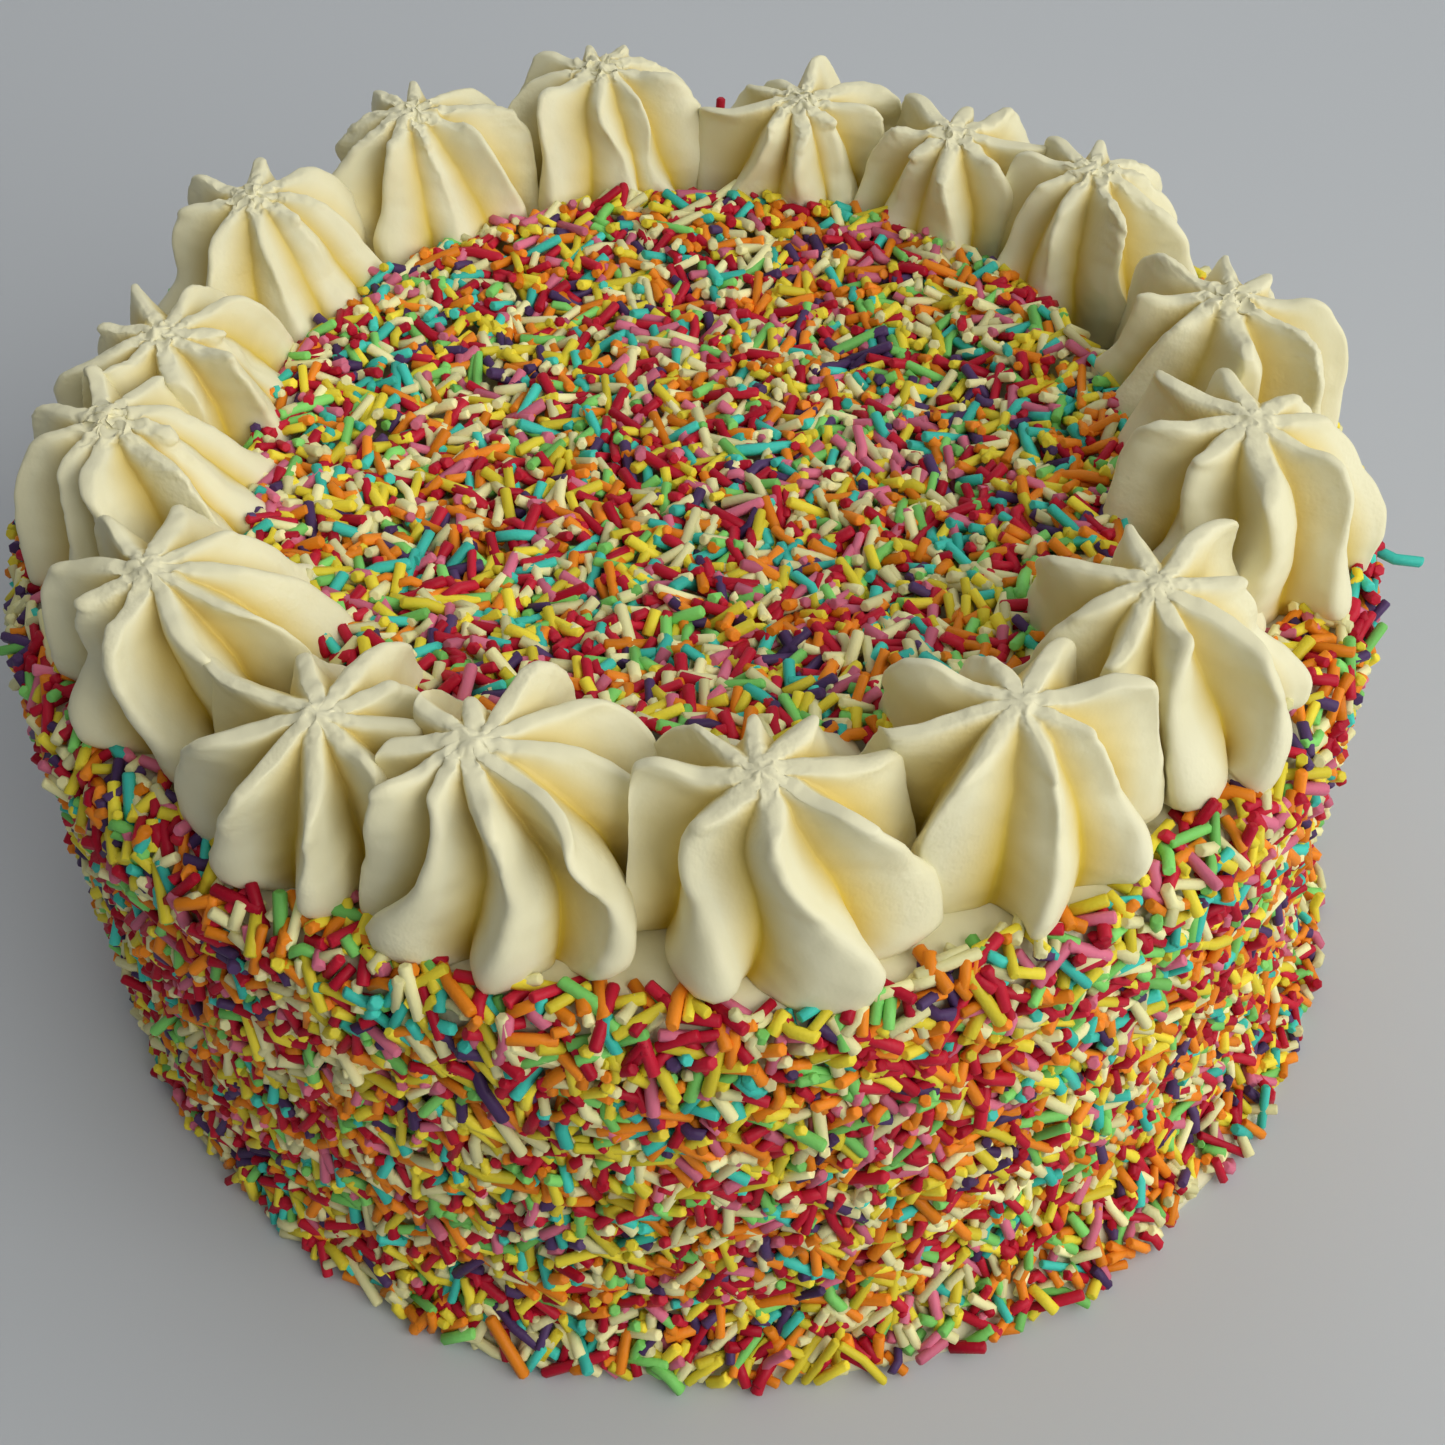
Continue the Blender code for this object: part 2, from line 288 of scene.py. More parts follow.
def whipped_buttercream(name, porous):
    """Whipped buttercream: butter and sugar, soft and matt.

    It is pale ivory, with painted shade of deep gold in the creases for the shade and light bouncing
    to and fro there. The attribute called crease is 0 on a ridge's crest and 1 at the bottom of a
    valley: how much of that painted shade a point gets. porous is how strongly the pores show.
    """
    material, tree, shader = new_material(name)
    place = add_node(tree, "ShaderNodeTexCoord").outputs["Object"]
    crease = add_node(tree, "ShaderNodeAttribute", {"attribute_name": "crease"}).outputs["Fac"]
    mottle = add_node(tree, "ShaderNodeTexNoise", links={"Vector": place}, Scale=90.0, Detail=3.0)
    pale = add_node(tree, "ShaderNodeMix", {"data_type": "RGBA"})
    tree.links.new(mottle.outputs["Fac"], pale.inputs[0])
    pale.inputs[6].default_value = linear(CREAM_PALE)
    pale.inputs[7].default_value = linear(CREAM_DEEPER)
    # Painted shade: deep gold mixed in as a crease deepens, in place of the shade and bounced light there
    depth = add_node(tree, "ShaderNodeMapRange", links={"Value": crease})
    depth.inputs["From Min"].default_value = PAINTED_SHADE_STARTS
    depth.inputs["From Max"].default_value = PAINTED_SHADE_IS_FULL
    painted_shade = add_node(tree, "ShaderNodeMix", {"data_type": "RGBA"})
    tree.links.new(depth.outputs["Result"], painted_shade.inputs[0])
    tree.links.new(pale.outputs[2], painted_shade.inputs[6])
    painted_shade.inputs[7].default_value = linear(CREASE_PAINTED_SHADE)
    tree.links.new(painted_shade.outputs[2], shader.inputs["Base Color"])
    # Pores a little under a millimetre apart, which show most in some patches
    patches = add_node(tree, "ShaderNodeTexNoise", links={"Vector": place}, Scale=55.0, Detail=1.0)
    patchy = add_node(tree, "ShaderNodeMapRange", links={"Value": patches.outputs["Fac"]})
    patchy.inputs["From Min"].default_value = 0.52
    patchy.inputs["From Max"].default_value = 0.66
    patchy.inputs["To Min"].default_value = 0.25
    pores = add_node(tree, "ShaderNodeTexNoise", links={"Vector": place}, Scale=1300.0, Detail=1.0)
    pitted = add_node(tree, "ShaderNodeMath", {"operation": "MULTIPLY"})
    tree.links.new(pores.outputs["Fac"], pitted.inputs[0])
    tree.links.new(patchy.outputs["Result"], pitted.inputs[1])
    bump = add_node(tree, "ShaderNodeBump", links={"Height": pitted.outputs["Value"]})
    bump.inputs["Distance"].default_value = PORE_DEPTH
    bump.inputs["Strength"].default_value = porous
    tree.links.new(bump.outputs["Normal"], shader.inputs["Normal"])
    shader.inputs["Roughness"].default_value = 0.5
    shader.inputs["IOR"].default_value = 1.45
    shader.inputs["Specular IOR Level"].default_value = 0.35
    return material


def sugar_strand(strand):
    """A sugar strand: pressed sugar and starch under a thin wax, so smooth and only half glossy.

    The attribute called tint is one number for each strand, as no two took up the same colour.
    """
    material, tree, shader = new_material(f"waxed sugar strand, {strand.name}")
    place = add_node(tree, "ShaderNodeTexCoord").outputs["Object"]
    tint = add_node(tree, "ShaderNodeAttribute", {"attribute_name": "tint"}).outputs["Fac"]
    colour = linear(strand.colour)
    shades = add_node(tree, "ShaderNodeMix", {"data_type": "RGBA"})
    tree.links.new(tint, shades.inputs[0])
    darkest = [c * DARKEST_TINT for c in colour[:3]]
    lightest = [min(1.0, c * LIGHTEST_TINT + 0.012) for c in colour[:3]]
    shades.inputs[6].default_value = (*darkest, 1.0)
    shades.inputs[7].default_value = (*lightest, 1.0)
    tree.links.new(shades.outputs[2], shader.inputs["Base Color"])
    # Sugar grain, a little under half a millimetre from one grain to the next
    grains = add_node(tree, "ShaderNodeTexNoise", links={"Vector": place}, Scale=2200.0, Detail=0.0)
    bump = add_node(tree, "ShaderNodeBump", links={"Height": grains.outputs["Fac"]})
    bump.inputs["Distance"].default_value = GRAIN_DEPTH
    bump.inputs["Strength"].default_value = 0.25
    tree.links.new(bump.outputs["Normal"], shader.inputs["Normal"])
    shader.inputs["Roughness"].default_value = 0.46
    shader.inputs["IOR"].default_value = 1.45
    shader.inputs["Specular IOR Level"].default_value = 0.22
    return material


def polar(radius, bearing, height=0.0):
    return np.array((radius * math.cos(bearing), radius * math.sin(bearing), height))


def smooth_step(low, high, value):
    share = np.clip((value - low) / (high - low), 0.0, 1.0)
    return share * share * (3 - 2 * share)


def resampled(points, count):
    """A smooth curve through points, read at even distances along it."""
    points = np.array(points, float)
    ends = np.vstack((2 * points[0] - points[1], points, 2 * points[-1] - points[-2]))
    dense = []
    for a, b, c, d in zip(ends, ends[1:], ends[2:], ends[3:]):
        for t in np.linspace(0.0, 1.0, 24, endpoint=False):
            cubic = (2 * a - 5 * b + 4 * c - d) * t**2 + (3 * b - a - 3 * c + d) * t**3
            dense.append((2 * b + (c - a) * t + cubic) / 2)
    dense = np.array(dense + [points[-1]])
    steps = np.linalg.norm(np.diff(dense[:, :2], axis=0), axis=1)
    along = np.concatenate(([0.0], np.cumsum(steps)))
    even = np.linspace(0.0, along[-1], count)
    return np.column_stack([np.interp(even, along, column) for column in dense.T])


def cream_piece(name, verts, faces, material, crease):
    """A smooth-shaded mesh object whose points already lie where they belong."""
    mesh = bpy.data.meshes.new(name)
    mesh.from_pydata([tuple(v) for v in verts], [], faces)
    mesh.materials.append(material)
    mesh.shade_smooth()
    # crease sets how much painted shade the cream's material puts on each point
    layer = mesh.attributes.new("crease", "FLOAT", "POINT")
    layer.data.foreach_set("value", np.asarray(crease, dtype=np.float32))
    obj = bpy.data.objects.new(name, mesh)
    bpy.context.scene.collection.objects.link(obj)
    return obj


def rings_to_faces(rows, around):
    """Quads between closed rings, with a fan to one more point past each end."""
    faces = []
    for row in range(rows - 1):
        for i in range(around):
            j = (i + 1) % around
            low, high = row * around, (row + 1) * around
            faces.append((low + i, low + j, high + j, high + i))
    bottom, top = rows * around, rows * around + 1
    last = (rows - 1) * around
    for i in range(around):
        j = (i + 1) % around
        faces.append((j, i, bottom))
        faces.append((last + i, last + j, top))
    return faces


def foot_reach(bearing):
    """How far from the cake's axis the heap at the foot reaches, in a circle that is off centre."""
    away = bearing - FOOT_BEARING
    reach = FOOT_OFFSET * np.cos(away) + np.sqrt(FOOT_RADIUS**2 - (FOOT_OFFSET * np.sin(away)) ** 2)
    return np.maximum(reach, CAKE_RADIUS + FOOT_LEAST)


def unevenness(bearing, height):
    """How far hand-spread buttercream stands in or out here, from -1 to 1."""
    slow = np.sin(2 * bearing + 0.7) + np.sin(5 * bearing + 2.1 + 30 * height)
    quick = np.sin(9 * bearing - 1.3 + 55 * height)
    return (slow + quick) / 3


def wall_profile():
    """The outline from inside the rim, over it, down the wall and out over the foot, at even steps.

    Each row is a radius, a height, and the share of the foot's spread that moves with the bearing.
    """
    edge = CAKE_RADIUS - TOP_EDGE_RADIUS
    points = [(edge - RIM_INSET, CAKE_HEIGHT, 0.0), (edge - 4 * MM, CAKE_HEIGHT, 0.0)]
    for degrees in (90, 68, 45, 22, 0):
        angle = math.radians(degrees)
        height = CAKE_HEIGHT - TOP_EDGE_RADIUS * (1 - math.sin(angle))
        points.append((edge + TOP_EDGE_RADIUS * math.cos(angle), height, 0.0))
    for share in (0.75, 0.5, 0.3):
        points.append((CAKE_RADIUS, CAKE_HEIGHT * share, 0.0))
    points.append((CAKE_RADIUS, FOOT_HEIGHT, 0.04))
    points.append((CAKE_RADIUS, FOOT_HEIGHT * 0.45, 0.38))
    points.append((CAKE_RADIUS, FOOT_HEIGHT * 0.14, 0.86))
    points.append((CAKE_RADIUS, FOOT_HEIGHT * 0.04, 0.97))
    points = np.array(points)
    spread = 9 * MM
    shown = np.column_stack((points[:, 0] + points[:, 2] * spread, points[:, 1], points))
    length = np.sum(np.linalg.norm(np.diff(shown[:, :2], axis=0), axis=1))
    return resampled(shown, int(length / BODY_STEP))[:, 2:]


PROFILE = wall_profile()


def skin_at(bearing, along):
    """Points of the buttercream's skin at a bearing and a distance along the outline."""
    row = np.clip(along / BODY_STEP, 0, len(PROFILE) - 1)
    steps = np.arange(len(PROFILE))
    radius, height, foot = (np.interp(row, steps, column) for column in PROFILE.T)
    heap = foot_reach(bearing) - CAKE_RADIUS
    heap = heap + FOOT_UNEVENNESS * unevenness(1.7 * math.pi - bearing, 0.0)
    wave = WALL_UNEVENNESS * unevenness(bearing, height) * smooth_step(0.9, 1.0, radius / CAKE_RADIUS)
    radius = radius + foot * heap + wave
    return np.stack((radius * np.cos(bearing), radius * np.sin(bearing), height), axis=-1)


def make_body(material):
    """The spread buttercream under the strands: a turned skin, closed over the top and underneath."""
    rows = len(PROFILE)
    turns = np.arange(BODY_TURNS) * 2 * math.pi / BODY_TURNS
    verts = []
    for row in range(rows):
        ring = skin_at(turns, np.full(BODY_TURNS, row * BODY_STEP))
        for point in ring:
            place = Vector(point) * RIPPLE_SCALE
            ripple = noise.noise(place) + 0.5 * noise.noise(place * 2.3)
            outwards = point * (1, 1, 0) / np.hypot(*point[:2])
            verts.append(point + outwards * ripple * RIPPLE_DEPTH)
    verts = np.array(verts)
    lowest = verts[-BODY_TURNS:].copy()
    lowest[:, 2] = 0.0
    lowest[:, :2] *= FOOT_TUCK
    verts = np.vstack((verts, lowest))
    rows += 1
    order = np.arange(rows * BODY_TURNS).reshape(rows, BODY_TURNS)[::-1].ravel()
    verts = np.vstack((verts[order], (0, 0, 0), (0, 0, CAKE_HEIGHT)))
    faces = rings_to_faces(rows, BODY_TURNS)
    # The spread cream gets no painted shade in creases
    no_painted_shade = np.full(len(verts), PAINTED_SHADE_STARTS)
    return cream_piece("buttercream_body", verts, faces, material, no_painted_shade)


def rosette_middle(rosette):
    return polar(rosette.reach * MM, math.radians(rosette.bearing), CAKE_HEIGHT)


def pressed_planes(index):
    """The planes where a rosette presses against its two neighbours."""
    here = rosette_middle(ROSETTES[index])
    for neighbour in (ROSETTES[index - 1], ROSETTES[(index + 1) % len(ROSETTES)]):
        way = rosette_middle(neighbour) - here
        yield here + way / 2, way / np.linalg.norm(way)


def ridge_section(crest, valley, half_widths, turns, lengths, bulges):
    """The points round one ridged section, seen from above, and how deep in a valley each lies.

    A ridge is a V with a round crest, and its flanks run into the crest without a step.
    """
    bearings = np.concatenate(([turns[-1] - 2 * math.pi], turns, [turns[0] + 2 * math.pi]))
    up = np.linspace(0.0, 1.0, FLANK_POINTS, endpoint=False)[:, None]
    points = []
    depths = []
    for i, here in enumerate(turns):
        before, after = bearings[i], bearings[i + 2]
        reach = crest * lengths[i]
        half = min(half_widths[i], 0.42 * reach * (after - before) / 2)
        ahead = polar(1.0, here)[:2]
        aside = np.array((-ahead[1], ahead[0]))
        shoulder = ahead * (reach - half)
        flanks = []
        arc_ends = []
        for side, low_bearing in ((-1, (before + here) / 2), (1, (here + after) / 2)):
            low = polar(valley, low_bearing)[:2]
            way = shoulder - low
            apart = max(np.linalg.norm(way), 1.001 * half)
            closing = math.atan2(-side * (way @ aside), way @ ahead) - math.asin(half / apart)
            closing = min(max(closing, -MOST_CLOSING), MOST_CLOSING)
            touch = shoulder + half * (ahead * math.sin(closing) + side * aside * math.cos(closing))
            bulge = side * aside * bulges[i] * reach
            flanks.append(low * (1 - up) + touch * up + bulge * np.sin(math.pi * up))
            arc_ends.append(side * (math.pi / 2 - closing))
        arc = np.linspace(*arc_ends, CREST_POINTS)[:, None]
        crest_points = shoulder + half * (ahead * np.cos(arc) + aside * np.sin(arc))
        points += [flanks[0], crest_points, flanks[1][::-1]]
        flank_depths = (1 - up[:, 0]) ** 1.3
        depths += [flank_depths, np.zeros(CREST_POINTS), flank_depths[::-1]]
    return np.vstack(points), np.concatenate(depths)


def rim_drop(points):
    """How far the cake's rounded rim lies below its top under these points."""
    past = np.hypot(points[:, 0], points[:, 1]) - (CAKE_RADIUS - TOP_EDGE_RADIUS)
    share = np.clip(past / TOP_EDGE_RADIUS, 0.0, 0.98)
    return TOP_EDGE_RADIUS * (1 - np.sqrt(1 - share**2))


def held_at_rim(points, share):
    """The factor that draws a rosette's foot back towards the rim, so that it hardly overhangs."""
    reach = np.hypot(points[:, 0], points[:, 1])
    past = np.maximum(reach - OVERHANG_STARTS, 0.0)
    kept = OVERHANG_MOST * (1 - np.exp(-past / OVERHANG_MOST))
    return 1 - share * (past - kept) / reach


Ridges = namedtuple(
    "Ridges", "turns lengths squared bells ruffles feet lifts swings phases plumpness bulges"
)


def draw_ridges(rosette, draw):
    """What sets each ridge of a rosette apart, drawn at random and then fitted to where it points."""
    count = rosette.ridges
    pitch = 2 * math.pi / count
    spread = math.radians(RIDGE_TURN_SPREAD)
    turns = math.radians(rosette.turn) + pitch * np.arange(count) + draw.uniform(-spread, spread, count)
    lengths = 1 + draw.uniform(-RIDGE_LENGTH_SPREAD, RIDGE_LENGTH_SPREAD * 0.6, count)
    squared = draw.uniform(-0.15, SQUARED_MOST, count)
    feet = draw.uniform(-0.3 * FOOT_LENGTH_SPREAD, FOOT_LENGTH_SPREAD, count)
    lifts = draw.uniform(-0.35, 1.0, count) * PEAK_LIFT
    swings = math.radians(abs(rosette.curl)) * draw.uniform(-0.75, 0.75, count)
    phases = draw.uniform(0.0, 2 * math.pi, count)
    plumpness = draw.uniform(*CREST_PLUMPNESS, count)
    bulges = draw.uniform(*FLANK_BULGE, count)
    # A ridge is either squared off near its top or drawn in above a foot that flares like a bell
    bells = draw.uniform(0.2, 1.0, count) * BELL_MOST * np.where(squared > 0.3, 0.3, 1.0)
    ruffles = draw.uniform(0.0, RUFFLE_MOST, count) * rosette.torn
    outward = math.radians(rosette.bearing)
    # Feet spread away from the cake's axis
    feet += FOOT_SPLAY * np.cos(turns - outward)
    # Ridges that press on a neighbour are longer and squared off
    sideways = np.sin(turns - outward) ** 2
    squared += SIDES_SQUARED * sideways
    lengths *= 1 + SIDES_LONGER * sideways
    bells *= 1 - 0.8 * sideways
    # Towards the back of the cake, the ridges that point inwards are shorter
    inwards = ((1 - np.cos(turns - outward)) / 2) ** 2
    lengths *= 1 - INNER_SHORTER * smooth_step(-0.7, 0.4, math.sin(outward)) * inwards
    return Ridges(turns, lengths, squared, bells, ruffles, feet, lifts, swings, phases, plumpness, bulges)


def lengths_at(ridges, share, outline):
    """How far each ridge reaches at this share of the height, against the outline's radius there."""
    squared = ridges.squared * smooth_step(0.3, 0.6, outline) * smooth_step(0.35, 0.75, share)
    lengths = ridges.lengths * np.maximum(outline, 0.01) ** (-squared)
    lengths = lengths * (1 + ridges.feet * (1 - smooth_step(0.0, 0.4, share)))
    drawn_in = smooth_step(0.2, 0.56, share) * (1 - smooth_step(0.84, 0.98, share))
    lengths = lengths * (1 - ridges.bells * drawn_in)
    return lengths * (1 + ridges.ruffles * np.sin(11.0 * share + 2 * ridges.phases))


def rosette_row(rosette, ridges, share, outline, valley):
    """One row of a rosette's points about its own middle, and how deep in a valley each lies."""
    widest = rosette.radius * MM
    crest = widest * outline
    swell = max(0.0, 1 - share / CREST_SWELL_SHARE) ** 1.4
    half_widths = ridges.plumpness * (RIDGE_CREST + (FOOT_CREST - RIDGE_CREST) * swell) / 2
    half_widths = np.minimum(half_widths, crest * 0.5)
    fading = 1 - smooth_step(0.8, 1.0, share)
    swung = ridges.turns + ridges.swings * np.sin(5.0 * share + ridges.phases) * fading
    lengths = lengths_at(ridges, share, outline)
    ring, depths = ridge_section(crest, crest * valley, half_widths, swung, lengths, ridges.bulges)
    # Soft cream holds no sharp line, so each point moves halfway to the middle of its neighbours
    ring = (np.roll(ring, 1, 0) + 2 * ring + np.roll(ring, -1, 0)) / 4
    reach = np.linalg.norm(ring, axis=1) / widest
    bearings = np.arctan2(ring[:, 1], ring[:, 0])
    curl = math.radians(rosette.curl)
    bearings += curl * (np.sin(math.pi * np.minimum(reach, 1.0)) + 0.25 * (share - 0.42))
    distances = reach * widest
    flat = np.stack((distances * np.cos(bearings), distances * np.sin(bearings)), axis=-1)
    height = PIPED_SINK * (1 - share) + rosette.height * MM * share
    peaked = smooth_step(0.3, 0.6, reach) * smooth_step(0.6, 0.95, share) * (1 - depths)
    lifts = np.repeat(ridges.lifts, 2 * FLANK_POINTS + CREST_POINTS)
    return np.column_stack((flat, height + lifts * peaked)), depths


def settle(points, planes, share):
    """Presses a row of points against the neighbouring rosettes, and down onto the rim."""
    for on_plane, way in planes:
        past = (points - on_plane) @ way
        pressed = PRESSED_BULGE * (1 - np.exp(-np.maximum(past, 0.0) / PRESSED_BULGE))
        points -= np.outer(np.where(past > 0, past - pressed, 0.0), way)
    points[:, :2] *= held_at_rim(points, 1 - smooth_step(0.12, 0.45, share))[:, None]
    points[:, 2] -= rim_drop(points) * (1 - smooth_step(0.0, 0.45, share))


def make_rosette(index, material):
    """A star-piped rosette: ridges that swell from the foot, curl, and close to a torn tip."""
    rosette = ROSETTES[index]
    ridges = draw_ridges(rosette, np.random.default_rng(SEED + index))
    foot = rosette_middle(rosette) - (0, 0, PIPED_SINK)
    outward = math.radians(rosette.bearing)
    leaning = polar(rosette.lean * MM, outward) + polar(rosette.sway * MM, outward + math.pi / 2)
    widest = rosette.radius * MM
    planes = list(pressed_planes(index))
    verts = []
    crease = []
    scaled = [(s * rosette.height * MM, o * widest, s, o, v) for s, o, v in RIDGE_OUTLINE]
    for _, _, share, outline, valley in resampled(scaled, ROSETTE_ROWS):
        points, depths = rosette_row(rosette, ridges, share, outline, valley)
        points += foot + leaning * share**2
        settle(points, planes, share)
        verts.append(points)
        # Painted shade: most at a valley's bottom, less towards the tip and higher up the rosette
        crease.append(depths * min(1.0, 2.2 * outline) * (1 - 0.35 * share))
    around = len(verts[0])
    verts = np.vstack(verts)
    crease = np.concatenate(crease)
    tip = foot + leaning + (0, 0, rosette.height * MM)
    verts = np.vstack((verts, foot, tip + (0, 0, 0.1 * MM)))
    # Full painted shade at the foot's middle and none at the tip
    crease = np.append(crease, (1.0, 0.0))
    roughen(verts, crease, tip, rosette)
    faces = rings_to_faces(ROSETTE_ROWS, around)
    name = f"piped_rosette_{index + 1:02d}"
    return cream_piece(name, verts, faces, material, crease)


def roughen(verts, crease, tip, rosette):
    """Moves points a little, as cream is never smooth: more at the torn tip and in crest patches."""
    for vert, depth in zip(verts, crease):
        place = Vector(vert)
        wave = noise.noise_vector(place * 160) + 0.5 * noise.noise_vector(place * 420)
        vert += np.array(wave) * CREAM_WAVE
        near = max(0.0, 1 - float(np.linalg.norm(vert - tip)) / TORN_RADIUS)
        height = (vert[2] - CAKE_HEIGHT) / (rosette.height * MM)
        crest = CRUMBLED_CREST * max(0.0, 1 - 4 * depth) * min(1.0, max(0.0, 4 * height - 2.4))
        patch = min(1.0, max(0.0, 0.3 + 2.2 * noise.noise(place * 75)))
        ragged = rosette.torn * max(near**0.6, crest * patch)
        if ragged > 0:
            rags = noise.noise_vector(place * 520) + 0.55 * noise.noise_vector(place * 1300)
            vert += np.array(rags) * TORN_DEPTH * ragged


def supported(heights, reaches):
    """The height at the middle and the slope of a rod dropped on points at these reaches."""
    left = reaches < 0
    right = ~left
    span = reaches[right][None, :] - reaches[left][:, None]
    slope = (heights[right][None, :] - heights[left][:, None]) / span
    middle = heights[left][:, None] - slope * reaches[left][:, None]
    best = np.argmax(middle)
    return middle.flat[best], slope.flat[best]


class Pile:
    """A field of heights over a flat chart, on which strands come to rest one after another."""

    def __init__(self, width, depth, wraps):
        self.across = int(width / GRID_STEP) + 1
        self.down = int(depth / GRID_STEP) + 1
        self.top = np.zeros((self.across, self.down))
        self.wraps = wraps
        self.laid = []

    def cells(self, u, v):
        i = np.rint(u / GRID_STEP).astype(int)
        i = i % self.across if self.wraps else np.clip(i, 0, self.across - 1)
        return i, np.clip(np.rint(v / GRID_STEP).astype(int), 0, self.down - 1)

    def lay(self, u, v, turn, length, radius):
        """Rests a strand here, raises the field under it, and gives its height and slope."""
        reaches = np.linspace(-length / 2, length / 2, 8)
        i, j = self.cells(u + reaches * math.cos(turn), v + reaches * math.sin(turn))
        height, slope = supported(self.top[i, j], reaches)
        slope = float(np.clip(slope, -STEEPEST, STEEPEST))
        reaches = np.linspace(-length / 2, length / 2, int(length / GRID_STEP) + 2)
        covered = []
        for aside in (-0.7, 0.0, 0.7):
            off = aside * radius
            x = u + reaches * math.cos(turn) - off * math.sin(turn)
            y = v + reaches * math.sin(turn) + off * math.cos(turn)
            i, j = self.cells(x, y)
            surface = height + slope * reaches + radius * (1 + math.sqrt(1 - aside**2))
            self.top[i, j] = np.maximum(self.top[i, j], surface)
            covered.append((i, j, surface))
        self.laid.append(covered)
        return height + radius, slope

    def lowest_of(self, spots):
        """The spot among these where the field is lowest, as strands roll into the gaps."""
        i, j = self.cells(spots[:, 0], spots[:, 1])
        return spots[np.argmin(self.top[i, j])]

    def shows(self, covered):
        """True where enough of a strand is still on top once all of them lie there."""
        seen = [self.top[i, j] - surface < 0.5 * STRAND_RADIUS for i, j, surface in covered]
        return np.mean(np.concatenate(seen)) > LEAST_SHOWN_SHARE

    def those_that_show(self, rows):
        return [row for row, covered in zip(rows, self.laid) if self.shows(covered)]


def strand_sizes(draw, count):
    """Lengths and radii: most are 3.5 to 8 mm, a few are longer."""
    lengths = STRAND_SHORTEST + draw.gamma(2.4, 1.2 * MM, count)
    radii = STRAND_RADIUS * draw.uniform(0.86, 1.14, count)
    return np.minimum(lengths, STRAND_LONGEST), radii


def coat_edge(bearing):
    """How far down the outline the coat of strands begins: lower under the front rosettes."""
    degrees = math.degrees(bearing) % 360
    away = abs(degrees - COAT_LOWEST_BEARING)
    bare = COAT_LOW_DEPTH * math.exp(-((away / COAT_LOW_WIDTH) ** 2))
    ragged = 1.2 * MM * math.sin(7 * bearing + 0.4) + 0.8 * MM * math.sin(17 * bearing)
    return COAT_STARTS + bare + ragged


def under_a_rosette(middle, way, length):
    """True where a strand up on the rim would lie under piped cream, or poke out of it."""
    if middle[2] < CAKE_HEIGHT - RIM_DEPTH:
        return False
    middles = np.array([rosette_middle(rosette)[:2] for rosette in ROSETTES])
    radii = np.array([rosette.radius for rosette in ROSETTES]) * MM * PIPED_OVER_SHARE
    for along in (-0.5, 0.0, 0.5):
        spot = (middle + way * length * along)[:2]
        if np.any(np.linalg.norm(middles - spot, axis=1) < radii):
            return True
    return False


def strands_on_wall(draw):
    """Rests strands on the wall and the foot, and gives each one's place, way and size."""
    width = 2 * math.pi * CAKE_RADIUS
    depth = (len(PROFILE) - 1) * BODY_STEP
    pile = Pile(width, depth, wraps=True)
    lengths, radii = strand_sizes(draw, STRANDS_ON_WALL)
    turns = draw.uniform(0, math.pi, STRANDS_ON_WALL)
    rows = []
    for turn, length, radius in zip(turns, lengths, radii):
        spots = draw.uniform((0, 0), (width, 1), (TRIES_FOR_A_LOW_SPOT, 2))
        starts = np.array([coat_edge(spot / CAKE_RADIUS) for spot in spots[:, 0]])
        spots[:, 1] = starts + (depth - FOOT_INSET - starts) * spots[:, 1] ** EDGE_CROWDING
        u, v = pile.lowest_of(spots)
        bearing = u / CAKE_RADIUS
        height, slope = pile.lay(u, v, turn, length, radius)
        small = 0.2 * MM
        place = skin_at(bearing, v)
        across = skin_at(bearing + small / CAKE_RADIUS, v) - place
        down = skin_at(bearing, v + small) - skin_at(bearing, v - small)
        across /= np.linalg.norm(across)
        down /= np.linalg.norm(down)
        outwards = np.cross(down, across)
        tilt = slope * 0.6 + draw.normal(0.0, 0.16)
        if draw.random() < STANDING_OUT_SHARE:
            tilt += draw.uniform(0.3, 0.9)
        way = across * math.cos(turn) + down * math.sin(turn) + outwards * tilt
        packed = COAT_THICKEST * (1 - math.exp(-height / COAT_THICKEST))
        middle = place + outwards * (packed - STRAND_SINK)
        way /= np.linalg.norm(way)
        middle[2] = max(middle[2], radius + abs(way[2]) * length / 2)
        rows.append((middle, way, length, radius))
    return [row for row in pile.those_that_show(rows) if not under_a_rosette(*row[:3])]


def strands_on_top(draw):
    """Rests strands on the bed inside the ring of rosettes."""
    pile = Pile(2 * BED_RADIUS, 2 * BED_RADIUS, wraps=False)
    lengths, radii = strand_sizes(draw, STRANDS_ON_TOP)
    turns = draw.uniform(0, math.pi, STRANDS_ON_TOP)
    rows = []
    for turn, length, radius in zip(turns, lengths, radii):
        reaches = BED_RADIUS * np.sqrt(draw.uniform(0, 1, TRIES_FOR_A_LOW_SPOT))
        bearings = draw.uniform(0, 2 * math.pi, TRIES_FOR_A_LOW_SPOT)
        spots = np.column_stack((reaches * np.cos(bearings), reaches * np.sin(bearings)))
        u, v = pile.lowest_of(spots + BED_RADIUS)
        height, slope = pile.lay(u, v, turn, length, radius)
        packed = BED_THICKEST * (1 - math.exp(-height / BED_THICKEST))
        reach = math.hypot(u - BED_RADIUS, v - BED_RADIUS) / BED_RADIUS
        packed += BED_RISE_AT_ROSETTES * smooth_step(0.55, 1.0, reach)
        place = np.array((u - BED_RADIUS, v - BED_RADIUS, CAKE_HEIGHT + packed - 0.4 * radius))
        way = np.array((math.cos(turn), math.sin(turn), 0.7 * slope + draw.normal(0.0, 0.08)))
        rows.append((place, way, length, radius))
    return pile.those_that_show(rows)


